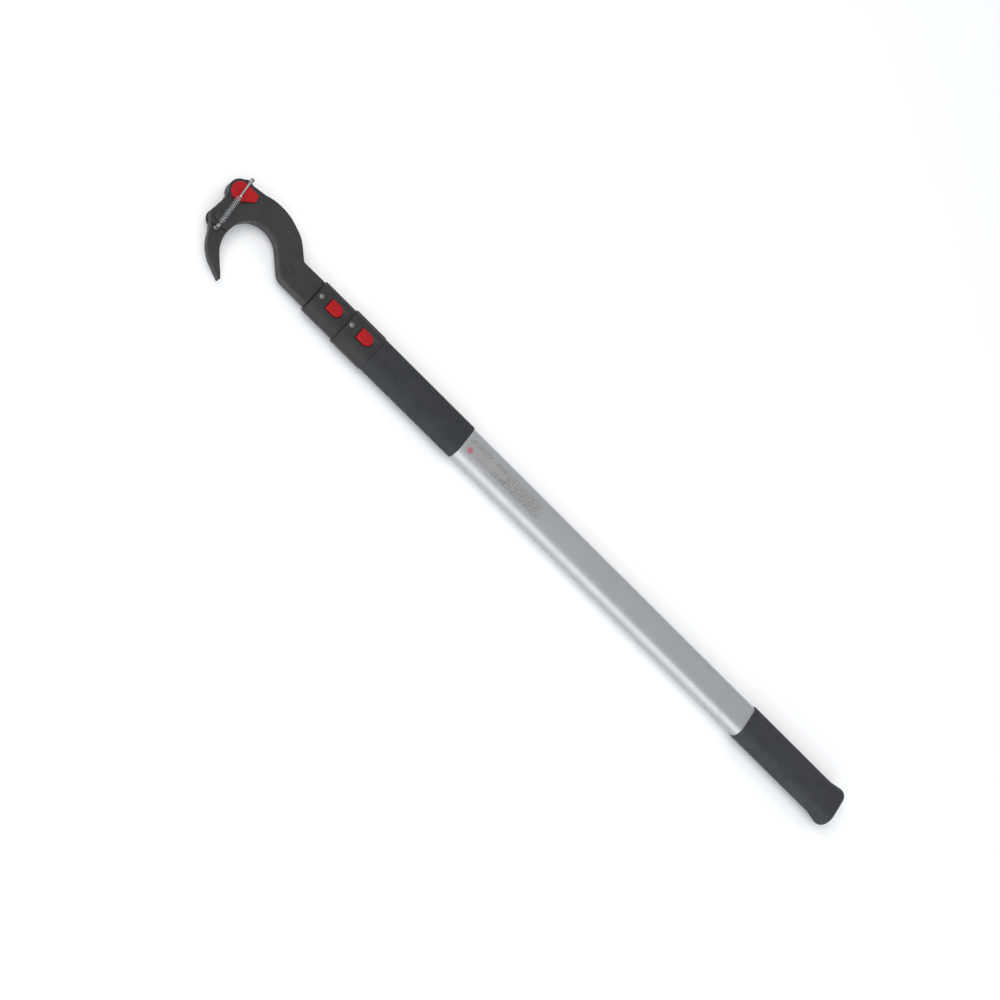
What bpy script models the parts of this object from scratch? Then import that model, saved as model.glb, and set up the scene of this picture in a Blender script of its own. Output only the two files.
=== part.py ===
"""Telescoping fire hydrant wrench: a spring-loaded claw head on a three-stage flat-oval lever.

Lengths are in metres. Inside the empty "wrench_frame", +X runs along the lever towards the
head, +Y points to the side on which the hook's mouth opens, +Z is the normal of the front
face, and the lever's axis is y = z = 0. The empty puts the world's origin under the middle
of the wrench's box.
"""
import math

import bmesh
import bpy
from mathutils import Matrix, Vector

# ---------------------------------------------------------------- driving dimensions
GAP = 0.0003                      # between two pieces that touch

FLAT = 0.019                      # width of every flat: section width less thickness
OUTER_T, OUTER_WALL = 0.0200, 0.0016     # thickness and wall of the three tubes
MIDDLE_T, MIDDLE_WALL = 0.0160, 0.0015
INNER_T, INNER_WALL = 0.0122, 0.0015
SLEEVE_T = 0.0220                 # rubber sleeve on the outer tube
OUTER_COLLAR_T = 0.0238
MIDDLE_COLLAR_T = 0.0206
GRIP_T, BUTT_T = 0.0228, 0.0278   # rear grip and its flared butt
SLIP = 0.0004                     # clearance round a sliding tube

BUTT_X = -0.5600                  # stations along the lever
TUBE_REAR_X = -0.5516
FLARE_X = -0.5415
GRIP_FRONT_X = -0.4192
SLEEVE_X = (0.0, 0.1256)
OUTER_COLLAR_X = (0.1260, 0.1657)
OUTER_TUBE_FRONT_X = 0.1560
MIDDLE_TUBE_X = (-0.2900, 0.1955)
MIDDLE_COLLAR_X = (0.1661, 0.2065)
INNER_TUBE_X = (-0.1600, 0.2058)
BUSHING_LENGTH = 0.006
PLUG_LENGTH = 0.025

LABEL_X, LABEL_WIDTH, LABEL_THICK = (-0.108, -0.003), 0.0165, 0.0004

BUTTON_WIDTH = 0.0134             # red latch buttons, flat side towards the head
BUTTON_LENGTH = 0.0164
BUTTON_RIM = 0.0012               # hidden flange round each button
BUTTON_PROUD = 0.0016
OUTER_LATCH_X, OUTER_RIVET_X = 0.1342, 0.1612
MIDDLE_LATCH_X, MIDDLE_RIVET_X = 0.1748, 0.2012
LEAF_WIDTH, LEAF_THICK = 0.0050, 0.0005
MIDDLE_TRAVEL, INNER_TRAVEL = 0.325, 0.284       # slides of the two inner stages
MIDDLE_SNAP_X = OUTER_LATCH_X + BUTTON_LENGTH / 2 - MIDDLE_TRAVEL    # lock pins that reach
INNER_SNAP_X = MIDDLE_LATCH_X + BUTTON_LENGTH / 2 - INNER_TRAVEL     # the buttons fully out

PLATE_Z = 0.0039                  # half thickness of the hook core and the claw
CHEEK_THICK = 0.0020
NECK_HALF, NECK_X = 0.0150, 0.2072
TANG_HALF, TANG_X = 0.0115, 0.1450
ARCH, ARCH_R = (0.2820, 0.0125), 0.0267          # inner arch of the jaw
BACK, BACK_R = (0.2860, 0.0130), 0.0550          # outer back of the hook
BOSS, BOSS_R = (0.3257, -0.0222), 0.0128         # lever boss
EAR, EAR_R = (0.3252, -0.0334), 0.0043           # ear that carries the spring post
PIVOT, KNUCKLE_R = (0.3245, 0.0140), 0.0100      # claw pivot
HUB_R = 0.0090
HEEL_R, HEEL_HALF_DEG, HEEL_ROOM = 0.0260, 7.5, 0.0012
CLAW_OPEN_DEG = 16.0
POCKET_R = 0.0095
CLAW_BACK, CLAW_BACK_R = (0.2805, 0.0150), 0.0453
LEVER_HUB_R, LEVER_TOP = 0.0096, 0.0096
CAM_HUB_R, CAM_LOBE_R = 0.0055, 0.0088
SPINDLE_R, PIN_R, RIVET_R, TANG_PIN_R = 0.0032, 0.0035, 0.0022, 0.0025
SPRING_Z, COIL_R, WIRE_R = 0.0126, 0.0027, 0.0005
SPRING_POST = (0.3254, -0.0343)
SPRING_ANCHOR = (0.3198, 0.0259)
COIL_START_Y = -0.0125
CHEEK_RIVETS = ((0.3035, -0.0298), (0.2645, -0.0273), (0.2395, 0.0017))
TANG_PINS = ((0.1600, 0.0), (0.1880, 0.0))

BOX_CENTRE = (-0.11075, 0.0096)   # middle of the wrench's box in its own frame
FACE_Z = PLATE_Z + GAP + CHEEK_THICK             # outer face of each cheek
ARC_STEP_DEG = 12.0

# ---------------------------------------------------------------- materials


def finish(name, colour, roughness, metallic=0.0):
    material = bpy.data.materials.new(name)
    material.use_nodes = True
    shader = material.node_tree.nodes["Principled BSDF"]
    shader.inputs["Base Color"].default_value = (*colour, 1.0)
    shader.inputs["Roughness"].default_value = roughness
    shader.inputs["Metallic"].default_value = metallic
    return material


for old in list(bpy.data.objects):
    bpy.data.objects.remove(old)

ALUMINIUM = finish("anodised_aluminium", (0.42, 0.43, 0.45), 0.35, 1.0)
RUBBER = finish("black_rubber", (0.045, 0.047, 0.050), 0.70)
POLYMER = finish("black_polymer", (0.040, 0.042, 0.044), 0.50)
COATED = finish("black_coated_steel", (0.050, 0.052, 0.054), 0.45)
RED = finish("red_plastic", (0.45, 0.012, 0.020), 0.35)
BRIGHT = finish("bright_steel", (0.60, 0.61, 0.61), 0.25, 1.0)
SPRING = finish("spring_steel", (0.55, 0.56, 0.57), 0.30, 1.0)
NYLON = finish("white_nylon", (0.60, 0.58, 0.52), 0.50)
LABEL = finish("grey_label", (0.25, 0.25, 0.26), 0.60)

FRAME = bpy.data.objects.new("wrench_frame", None)
FRAME.location = (-BOX_CENTRE[0], -BOX_CENTRE[1], BUTT_T / 2)
bpy.context.scene.collection.objects.link(FRAME)

# ---------------------------------------------------------------- outlines


def arc(centre, radius, start_deg, end_deg):
    """Points on an arc, both ends included."""
    steps = max(2, math.ceil(abs(end_deg - start_deg) / ARC_STEP_DEG))
    points = []
    for i in range(steps + 1):
        angle = math.radians(start_deg + (end_deg - start_deg) * i / steps)
        points.append((centre[0] + radius * math.cos(angle), centre[1] + radius * math.sin(angle)))
    return points


def smooth(points, cuts=3):
    """A Catmull-Rom line through the points."""
    ends = [points[0], *points, points[-1]]
    line = []
    for i in range(len(points) - 1):
        p0, p1, p2, p3 = (Vector(p) for p in ends[i:i + 4])
        for k in range(cuts):
            t = k / cuts
            spot = 0.5 * (2 * p1 + (p2 - p0) * t + (2 * p0 - 5 * p1 + 4 * p2 - p3) * t * t
                          + (3 * p1 - p0 - 3 * p2 + p3) * t ** 3)
            line.append(tuple(spot))
    return line + [points[-1]]


def d_outline(rear_x, grow):
    """D-shaped button outline: round towards the grip, flat towards the head."""
    radius = BUTTON_WIDTH / 2
    front = rear_x + BUTTON_LENGTH + grow
    return [*arc((rear_x + radius, 0.0), radius + grow, 90, 270), (front, -radius - grow),
            (front, radius + grow)]


def hook_back():
    """The outer side of the hook, from the neck round the boss to above the claw pivot."""
    ear_start = (0.3178, -0.0363)
    return [(NECK_X, -NECK_HALF), *arc(BACK, BACK_R, 210.6, 291.3), ear_start,
            *arc(EAR, EAR_R, 215, 318), *arc(BOSS, BOSS_R, -62, 50), (0.3324, -0.0050)]


def hook_mouth(start_deg):
    """The inner side of the hook, from the jaw's arch down the shank to the neck."""
    fillet = (0.2369, 0.0008)
    return [*arc(ARCH, ARCH_R, start_deg, -135), *arc(fillet, 0.0140, 45, 90),
            (NECK_X, NECK_HALF)]


# ---------------------------------------------------------------- solids


def prism(outline, low, high):
    """A bmesh plate with the given outline between two heights."""
    bm = bmesh.new()
    face = bm.faces.new([bm.verts.new((x, y, low)) for x, y in outline])
    top = bmesh.ops.extrude_face_region(bm, geom=[face])["geom"]
    moved = [v for v in top if isinstance(v, bmesh.types.BMVert)]
    bmesh.ops.translate(bm, verts=moved, vec=(0, 0, high - low))
    bmesh.ops.recalc_face_normals(bm, faces=bm.faces)
    return bm


def obround(x, thick):
    """Points of a flat-oval section at station x."""
    radius = thick / 2
    points = []
    for side in (1, -1):
        for i in range(9):
            angle = math.radians(22.5 * i - 90 * side)
            points.append((x, side * FLAT / 2 + radius * math.cos(angle), radius * math.sin(angle)))
    return points


def loft(rings, closed):
    """A skin over sections of equal point count: a closed one is hollow right through."""
    bm = bmesh.new()
    loops = [[bm.verts.new(p) for p in ring] for ring in rings]
    count = len(loops[0])
    pairs = list(zip(loops, loops[1:]))
    if closed:
        pairs.append((loops[-1], loops[0]))
    for a, b in pairs:
        for i in range(count):
            j = (i + 1) % count
            bm.faces.new((a[i], a[j], b[j], b[i]))
    if not closed:
        bm.faces.new(loops[0])
        bm.faces.new(loops[-1])
    bmesh.ops.recalc_face_normals(bm, faces=bm.faces)
    return bm


def hollow(profile, bore):
    """A flat-oval shell: profile and bore are lists of (station, thickness), rear to front."""
    rings = [obround(x, t) for x, t in profile] + [obround(x, t) for x, t in reversed(bore)]
    return loft(rings, closed=True)


def turned(profile, centre, segments=20):
    """A solid turned about a Z axis through centre, from (radius, height) points."""
    bm = bmesh.new()
    verts = [bm.verts.new((r, 0, z)) for r, z in profile]
    edges = [bm.edges.new(pair) for pair in zip(verts, verts[1:])]
    bmesh.ops.spin(bm, geom=verts + edges, cent=(0, 0, 0), axis=(0, 0, 1),
                   angle=math.tau, steps=segments, use_merge=True)
    bmesh.ops.remove_doubles(bm, verts=bm.verts, dist=1e-6)
    bmesh.ops.translate(bm, verts=bm.verts, vec=(centre[0], centre[1], 0))
    bmesh.ops.recalc_face_normals(bm, faces=bm.faces)
    return bm


def pin_profile(radius, low, high, head_r=None, head_h=0.0, tail_r=None, tail_h=0.0):
    """Shank from low to high, with a domed head above it and a flat tail below it."""
    profile = [(0, low - tail_h)]
    if tail_r:
        profile += [(tail_r, low - tail_h), (tail_r, low)]
        profile += [(radius, low), (radius, high)]
    else:
        profile += [(radius, low), (radius, high)]
    if head_r:
        profile += [(head_r, high), (head_r, high + 0.35 * head_h),
                    (0.72 * head_r, high + 0.8 * head_h)]
    return profile + [(0, high + head_h)]


def ring_profile(inner, outer, low, high):
    return [(inner, low), (outer, low), (outer, high), (inner, high), (inner, low)]


def place(name, bm, origin=(0.0, 0.0, 0.0)):
    """Turns a bmesh into an object whose origin is on its joint's axis."""
    bmesh.ops.translate(bm, verts=bm.verts, vec=-Vector(origin))
    mesh = bpy.data.meshes.new(name)
    bm.to_mesh(mesh)
    bm.free()
    thing = bpy.data.objects.new(name, mesh)
    bpy.context.scene.collection.objects.link(thing)
    thing.parent = FRAME
    thing.location = origin
    return thing


def node(name, bm, material, origin=(0.0, 0.0, 0.0), rounded=True):
    thing = place(name, bm, origin)
    thing.data.materials.append(material)
    if rounded:
        thing.data.shade_smooth()
        thing.data.set_sharp_from_angle(angle=math.radians(35))
    return thing


def cut(thing, bm):
    """Cuts the bmesh's solid out of an object."""
    cutter = place("cutter_" + thing.name, bm)
    cutter.hide_render = True
    cutter.display_type = "WIRE"
    boolean = thing.modifiers.new("cut", "BOOLEAN")
    boolean.operation = "DIFFERENCE"
    boolean.solver = "EXACT"
    boolean.object = cutter


def drill(thing, spots, radius, depth=0.02):
    """Round holes along Z at the given spots, which don't touch each other."""
    for spot in spots:
        cut(thing, turned([(0, -depth), (radius, -depth), (radius, depth), (0, depth)], spot))


def box(x, y, z):
    corners = [(x[0], y[0]), (x[1], y[0]), (x[1], y[1]), (x[0], y[1])]
    return prism(corners, *z)


# ---------------------------------------------------------------- outer tube, grips and collar


def build_outer_body():
    bore_t = OUTER_T - 2 * OUTER_WALL
    tube = node("outer_tube", hollow([(TUBE_REAR_X, OUTER_T), (OUTER_TUBE_FRONT_X, OUTER_T)],
                                     [(TUBE_REAR_X, bore_t), (OUTER_TUBE_FRONT_X, bore_t)]),
                ALUMINIUM)
    cut_latch_room(tube, OUTER_LATCH_X, OUTER_RIVET_X, 0.005, 0.012)

    fit_t = OUTER_T + 2 * GAP
    node("fore_sleeve", hollow([(SLEEVE_X[0], SLEEVE_T - 0.0008), (SLEEVE_X[0] + 0.0008, SLEEVE_T),
                                (SLEEVE_X[1], SLEEVE_T)],
                               [(SLEEVE_X[0], fit_t), (SLEEVE_X[1], fit_t)]), RUBBER)

    rear, front = OUTER_COLLAR_X
    lip_x = OUTER_TUBE_FRONT_X + GAP
    lip_t = MIDDLE_T + 2 * SLIP
    collar = node("outer_collar",
                  hollow([(rear, OUTER_COLLAR_T - 0.0012), (rear + 0.0010, OUTER_COLLAR_T),
                          (front - 0.0016, OUTER_COLLAR_T), (front, OUTER_COLLAR_T - 0.0024)],
                         [(rear, fit_t), (lip_x, fit_t), (lip_x, lip_t), (front, lip_t)]), POLYMER)
    cut_button_room(collar, OUTER_LATCH_X, OUTER_COLLAR_T / 2)
    cut_leaf_room(collar, OUTER_LATCH_X, OUTER_RIVET_X, 0.0060, OUTER_T / 2 + 0.0001)
    drill_rivet(collar, OUTER_RIVET_X)

    build_grip(fit_t)
    plug_t = bore_t - 2 * GAP
    node("tube_end_plug", hollow([(TUBE_REAR_X + GAP, plug_t), (TUBE_REAR_X + PLUG_LENGTH, plug_t)],
                                 [(TUBE_REAR_X + GAP, 0.006), (TUBE_REAR_X + PLUG_LENGTH, 0.006)]),
         NYLON)
    label_z = OUTER_T / 2 + GAP
    node("tube_label", box(LABEL_X, (-LABEL_WIDTH / 2, LABEL_WIDTH / 2),
                           (label_z, label_z + LABEL_THICK)), LABEL, rounded=False)


def build_grip(fit_t):
    """Rubber boot with a flared, domed butt; its socket takes the tube's rear end."""
    socket_x = TUBE_REAR_X - GAP
    profile = [(GRIP_FRONT_X, fit_t), (GRIP_FRONT_X, GRIP_T - 0.0010), (GRIP_FRONT_X - 0.0010, GRIP_T),
               (FLARE_X, GRIP_T), (FLARE_X - 0.0030, GRIP_T + 0.0022), (FLARE_X - 0.0065, BUTT_T),
               (BUTT_X + 0.0055, BUTT_T), (BUTT_X + 0.0022, BUTT_T - 0.0042),
               (BUTT_X + 0.0004, BUTT_T - 0.0125), (BUTT_X, 0.0060)]
    rings = [obround(x, t) for x, t in reversed(profile)] + [obround(socket_x, fit_t)]
    node("rear_grip", loft(rings, closed=False), RUBBER)


# ---------------------------------------------------------------- latches


def cut_button_room(thing, rear_x, top):
    """A D-shaped window with a wider pocket below it for the button's rim."""
    cut(thing, prism(d_outline(rear_x, GAP), top - 0.004, top + 0.002))
    cut(thing, prism(d_outline(rear_x, BUTTON_RIM + GAP), 0.004, top - 0.0010))


def cut_latch_room(tube, rear_x, rivet_x, low, high):
    """Room for the button's rim and its leaf spring in a tube's front wall."""
    cut(tube, prism(d_outline(rear_x, BUTTON_RIM + GAP), low, high))
    cut_leaf_room(tube, rear_x, rivet_x, low, high)


def cut_leaf_room(thing, rear_x, rivet_x, low, high):
    half = LEAF_WIDTH / 2 + GAP
    cut(thing, box((rear_x + 0.0040, rivet_x + 0.0030), (-half, half), (low, high)))


def drill_rivet(collar, rivet_x):
    cut(collar, turned([(0, 0.003), (0.0018, 0.003), (0.0018, 0.016), (0, 0.016)], (rivet_x, 0.0)))


def build_latch(prefix, rear_x, rivet_x, collar_top, rest_z):
    """Red button, the leaf spring under it and the rivet that holds the leaf."""
    origin = (rear_x + BUTTON_LENGTH / 2, 0.0, rest_z)
    rim_top = collar_top - 0.0010 - GAP
    rings = []
    for grow, z in ((BUTTON_RIM, rest_z), (BUTTON_RIM, rim_top), (0.0, rim_top),
                    (0.0, collar_top + BUTTON_PROUD - 0.0007), (-0.0009, collar_top + BUTTON_PROUD)):
        rings.append([(x, y, z) for x, y in d_outline(rear_x, grow)])
    node(prefix + "_latch_button", loft(rings, closed=False), RED, origin)

    leaf_top = rest_z - GAP
    leaf = node(prefix + "_latch_leaf",
                box((rear_x + 0.0050, rivet_x + 0.0026), (-LEAF_WIDTH / 2, LEAF_WIDTH / 2),
                    (leaf_top - LEAF_THICK, leaf_top)), SPRING, rounded=False)
    cut(leaf, turned([(0, 0.003), (0.0017, 0.003), (0.0017, 0.016), (0, 0.016)], (rivet_x, 0.0)))
    low = leaf_top - LEAF_THICK - GAP
    node(prefix + "_latch_rivet",
         turned(pin_profile(0.0014, low, collar_top + GAP, 0.0027, 0.0010, 0.0022, 0.0003),
                (rivet_x, 0.0)), BRIGHT)


# ---------------------------------------------------------------- middle and inner stages


def build_middle_body():
    rear, front = MIDDLE_TUBE_X
    bore_t = MIDDLE_T - 2 * MIDDLE_WALL
    tube = node("middle_tube", hollow([(rear, MIDDLE_T), (front, MIDDLE_T)],
                                      [(rear, bore_t), (front, bore_t)]), ALUMINIUM)
    cut_latch_room(tube, MIDDLE_LATCH_X, MIDDLE_RIVET_X, 0.004, 0.010)
    cut(tube, turned([(0, 0.004), (0.0033, 0.004), (0.0033, 0.012), (0, 0.012)],
                     (MIDDLE_SNAP_X, 0.0)))

    fit_t = MIDDLE_T + 2 * GAP
    rear, front = MIDDLE_COLLAR_X
    lip_x = MIDDLE_TUBE_X[1] + GAP
    lip_t = INNER_T + 2 * SLIP
    collar = node("middle_collar",
                  hollow([(rear, MIDDLE_COLLAR_T - 0.0008), (rear + 0.0006, MIDDLE_COLLAR_T),
                          (front - 0.0014, MIDDLE_COLLAR_T), (front, MIDDLE_COLLAR_T - 0.0022)],
                         [(rear, fit_t), (lip_x, fit_t), (lip_x, lip_t), (front, lip_t)]), POLYMER)
    cut_button_room(collar, MIDDLE_LATCH_X, MIDDLE_COLLAR_T / 2)
    cut_leaf_room(collar, MIDDLE_LATCH_X, MIDDLE_RIVET_X, 0.0040, MIDDLE_T / 2 + 0.0001)
    drill_rivet(collar, MIDDLE_RIVET_X)

    rear = MIDDLE_TUBE_X[0] - GAP
    node("middle_tube_bushing",
         hollow([(rear - BUSHING_LENGTH, MIDDLE_T + 0.0002), (rear, MIDDLE_T + 0.0002)],
                [(rear - BUSHING_LENGTH, INNER_T + 0.0006), (rear, INNER_T + 0.0006)]), NYLON)
    node("middle_snap_clip", snap_clip(MIDDLE_SNAP_X, bore_t / 2, MIDDLE_T / 2, 0.0030), SPRING)


def snap_clip(x, bore_half, pin_top, pin_r):
    """A V-shaped leaf that lifts a round lock pin; the pin is flush with its tube."""
    thick, half, length = 0.0006, 0.0040, 0.030
    top = bore_half - 0.0004
    low = -bore_half + 0.0004
    side = [(x + 0.006, top), (x - 0.0065, top), (x - length - 0.004, low), (x + 0.004, low),
            (x + 0.004, low + thick), (x - length, low + thick), (x - 0.006, top - thick),
            (x + 0.006, top - thick)]
    bm = bmesh.new()
    face = bm.faces.new([bm.verts.new((px, -half, pz)) for px, pz in side])
    grown = bmesh.ops.extrude_face_region(bm, geom=[face])["geom"]
    bmesh.ops.translate(bm, verts=[v for v in grown if isinstance(v, bmesh.types.BMVert)],
                        vec=(0, 2 * half, 0))
    bmesh.ops.recalc_face_normals(bm, faces=bm.faces)
    leaf = place("leaf", bm)
    pin = place("pin", turned([(0, top - thick / 2), (pin_r, top - thick / 2), (pin_r, pin_top),
                               (0, pin_top)], (x, 0.0)))
    union = leaf.modifiers.new("join", "BOOLEAN")
    union.operation = "UNION"
    union.solver = "EXACT"
    union.object = pin
    bpy.context.view_layer.update()
    whole = bmesh.new()
    whole.from_object(leaf, bpy.context.evaluated_depsgraph_get())
    bpy.data.objects.remove(leaf)
    bpy.data.objects.remove(pin)
    return whole


def build_inner_tube():
    rear, front = INNER_TUBE_X
    bore_t = INNER_T - 2 * INNER_WALL
    tube = node("inner_tube", hollow([(rear, INNER_T), (front, INNER_T)],
                                     [(rear, bore_t), (front, bore_t)]), ALUMINIUM)
    cut(tube, turned([(0, 0.002), (0.0029, 0.002), (0.0029, 0.012), (0, 0.012)],
                     (INNER_SNAP_X, 0.0)))
    drill(tube, TANG_PINS, TANG_PIN_R + GAP)
    rear -= GAP
    node("inner_tube_bushing",
         hollow([(rear - BUSHING_LENGTH, INNER_T + 0.0002), (rear, INNER_T + 0.0002)],
                [(rear - BUSHING_LENGTH, 0.006), (rear, 0.006)]), NYLON)
    node("inner_snap_clip", snap_clip(INNER_SNAP_X, bore_t / 2, INNER_T / 2, 0.0026), SPRING)


# ---------------------------------------------------------------- hook head


def build_hook_core():
    """Solid steel plate: tang, neck, hook and lever boss, with room for the claw's hub and heel."""
    clearance = HUB_R + 0.0006
    tang_front = NECK_X - 0.0006
    outline = [(TANG_X, -TANG_HALF), (tang_front, -TANG_HALF), *hook_back(),
               (0.3324, 0.0085), *arc(PIVOT, clearance, -34, -159), (0.3086, 0.0106),
               *hook_mouth(-8), (tang_front, TANG_HALF), (TANG_X, TANG_HALF)]
    core = node("hook_core", prism(outline, -PLATE_Z, PLATE_Z), COATED, rounded=False)
    reach = HEEL_R + HEEL_ROOM
    half = HEEL_R * math.sin(math.radians(HEEL_HALF_DEG)) + 0.0008
    spread = math.degrees(math.asin(half / reach))
    root_spread = math.degrees(math.asin(half / 0.0070))
    cavity = [*arc(PIVOT, reach, -90 - CLAW_OPEN_DEG - spread, -90 + spread),
              *arc(PIVOT, 0.0070, -90 + root_spread, -90 - CLAW_OPEN_DEG - root_spread)]
    cut(core, prism(cavity, -0.01, 0.01))
    drill(core, [BOSS], POCKET_R)
    drill(core, CHEEK_RIVETS, RIVET_R + GAP)
    drill(core, TANG_PINS, TANG_PIN_R + GAP)
    drill(core, [SPRING_POST], 0.0015 + GAP)


def build_cheek(name, side):
    """Thin plate over the core that carries the claw's pin and the lever's spindle."""
    outline = [*hook_back(), (0.3324, 0.0060), *arc(PIVOT, KNUCKLE_R, -38, 112),
               (0.3092, 0.0192), *hook_mouth(0)]
    inner, outer = side * (PLATE_Z + GAP), side * FACE_Z
    cheek = node(name, prism(outline, min(inner, outer), max(inner, outer)), COATED, rounded=False)
    drill(cheek, [PIVOT], PIN_R + GAP)
    drill(cheek, [BOSS], SPINDLE_R + GAP)
    drill(cheek, CHEEK_RIVETS, RIVET_R + GAP)
    drill(cheek, [SPRING_POST], 0.0015 + GAP)


def build_head_hardware():
    outside = FACE_Z + GAP
    rivet = pin_profile(RIVET_R, -outside, outside, 0.0032, 0.0009, 0.0032, 0.0007)
    for number, spot in enumerate(CHEEK_RIVETS, 1):
        node(f"cheek_rivet_{number}", turned(rivet, spot), COATED)
    flush = INNER_T / 2 - 0.0001
    for number, spot in enumerate(TANG_PINS, 1):
        node(f"tang_pin_{number}", turned(pin_profile(TANG_PIN_R, -flush, flush), spot), BRIGHT)
    node("claw_pivot_pin",
         turned(pin_profile(PIN_R, -outside, outside, 0.0054, 0.0015, 0.0050, 0.0010), PIVOT), COATED)
    node("spring_post",
         turned([(0, -outside - 0.0006), (0.0026, -outside - 0.0006), (0.0026, -outside),
                 (0.0015, -outside), (0.0015, outside), (0.0020, outside), (0.0020, outside + 0.0010),
                 (0.0014, outside + 0.0018), (0.0014, SPRING_Z + 0.0008),
                 (0.0023, SPRING_Z + 0.0013), (0.0019, SPRING_Z + 0.0023), (0, SPRING_Z + 0.0026)],
                SPRING_POST, 16), BRIGHT)


def build_claw():
    origin = (*PIVOT, 0.0)
    inner = smooth([(0.2850, 0.0606), (0.2886, 0.0551), (0.2940, 0.0493), (0.3019, 0.0402),
                    (0.3061, 0.0331), (0.3085, 0.0255), (0.3092, 0.0196), (0.3090, 0.0111)])
    heel_start, heel_end = -90 - HEEL_HALF_DEG, -90 + HEEL_HALF_DEG
    outline = [*inner, *arc(PIVOT, HUB_R, -162, -90 - 24), *arc(PIVOT, HEEL_R, heel_start, heel_end),
               *arc(PIVOT, HUB_R, -90 + 24, 62), (0.3262, 0.0258),
               *arc(CLAW_BACK, CLAW_BACK_R, 20, 82.5), (0.2846, 0.0612)]
    claw = node("claw", prism(outline, -PLATE_Z, PLATE_Z), COATED, origin, rounded=False)
    drill(claw, [PIVOT], PIN_R + 0.0020)
    drill(claw, [SPRING_ANCHOR], 0.0013 + GAP)
    node("claw_bushing", turned(ring_profile(PIN_R + GAP, PIN_R + 0.0017, -PLATE_Z, PLATE_Z), PIVOT),
         BRIGHT, origin)
    seat = PLATE_Z + GAP
    node("spring_anchor_screw",
         turned([(0, -PLATE_Z), (0.0013, -PLATE_Z), (0.0013, seat), (0.0022, seat),
                 (0.0022, seat + 0.0022), (0.0013, seat + 0.0026), (0.0013, SPRING_Z + 0.0008),
                 (0.0025, SPRING_Z + 0.0012), (0.0025, SPRING_Z + 0.0020), (0, SPRING_Z + 0.0027)],
                SPRING_ANCHOR, 16), BRIGHT, origin)


def build_spring():
    """Extension spring: one long wire from the post, then the coiled body to the claw's screw."""
    start, end = Vector((*SPRING_POST, SPRING_Z)), Vector((*SPRING_ANCHOR, SPRING_Z))
    along = (end - start).normalized()
    span = (end - start).length
    coil_from = (COIL_START_Y - start.y) / along.y
    first, last = 0.0014 + GAP, span - 0.0013 - GAP
    profile = [(0, first), (WIRE_R, first), (WIRE_R, coil_from - 0.001), (COIL_R, coil_from),
               (COIL_R, last - 0.003), (WIRE_R, last - 0.002), (WIRE_R, last), (0, last)]
    bm = turned(profile, (0.0, 0.0), 12)
    turn = along.to_track_quat("Z", "X").to_matrix().to_4x4()
    bmesh.ops.transform(bm, matrix=Matrix.Translation(start) @ turn, verts=bm.verts)
    node("claw_spring", bm, SPRING)


def build_lever():
    """Red thumb lever on the boss, with its spindle, lock cam and retaining ring."""
    origin = (*BOSS, 0.0)
    thumb = (0.3134, -0.0265)
    low = FACE_Z + GAP
    outline = [*arc(BOSS, LEVER_HUB_R, -89, 127), *arc(thumb, 0.0056, 127, 271)]
    rings = []
    for inset, z in ((0.0, low), (0.0, LEVER_TOP - 0.0009), (0.0009, LEVER_TOP)):
        rings.append([shrink(point, BOSS, inset) + (z,) for point in outline])
    lever = node("release_lever", loft(rings, closed=False), RED, origin)
    drill(lever, [BOSS], SPINDLE_R + GAP)
    node("lever_spindle",
         turned([(0, -low - 0.0016), (SPINDLE_R, -low - 0.0016), (SPINDLE_R, LEVER_TOP + 0.0004),
                 (SPINDLE_R - 0.0008, LEVER_TOP + 0.0010), (0, LEVER_TOP + 0.0010)], BOSS),
         BRIGHT, origin)
    cam_outline = [*arc(BOSS, CAM_HUB_R, 165, 475), *arc(BOSS, CAM_LOBE_R, 122, 158)]
    cam = node("lock_cam", prism(cam_outline, -PLATE_Z, PLATE_Z), BRIGHT, origin)
    drill(cam, [BOSS], SPINDLE_R + GAP)
    node("lever_retaining_ring",
         turned(ring_profile(SPINDLE_R + GAP, 0.0062, -low - 0.0010, -low), BOSS), BRIGHT, origin)


def shrink(point, centre, distance):
    """Moves an outline point towards the centre by a distance."""
    offset = Vector(point) - Vector(centre)
    return tuple(Vector(centre) + offset * (1 - distance / offset.length))


# ---------------------------------------------------------------- assembly

build_outer_body()
build_latch("outer", OUTER_LATCH_X, OUTER_RIVET_X, OUTER_COLLAR_T / 2, 0.0098)
build_middle_body()
build_latch("middle", MIDDLE_LATCH_X, MIDDLE_RIVET_X, MIDDLE_COLLAR_T / 2, 0.0080)
build_inner_tube()
build_hook_core()
build_cheek("front_cheek", 1)
build_cheek("back_cheek", -1)
build_head_hardware()
build_claw()
build_spring()
build_lever()
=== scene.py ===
# %% [markdown]
# # A telescoping hydrant wrench
# The wrench is a flat-oval aluminium lever with a rubber grip at one end and a hooked steel head
# at the other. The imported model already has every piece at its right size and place, so this
# lesson only makes the surfaces: it puts a finely made piece over each rough one and paints it.

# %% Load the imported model
import math

import bmesh
import bpy
from mathutils import Matrix, Vector


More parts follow.
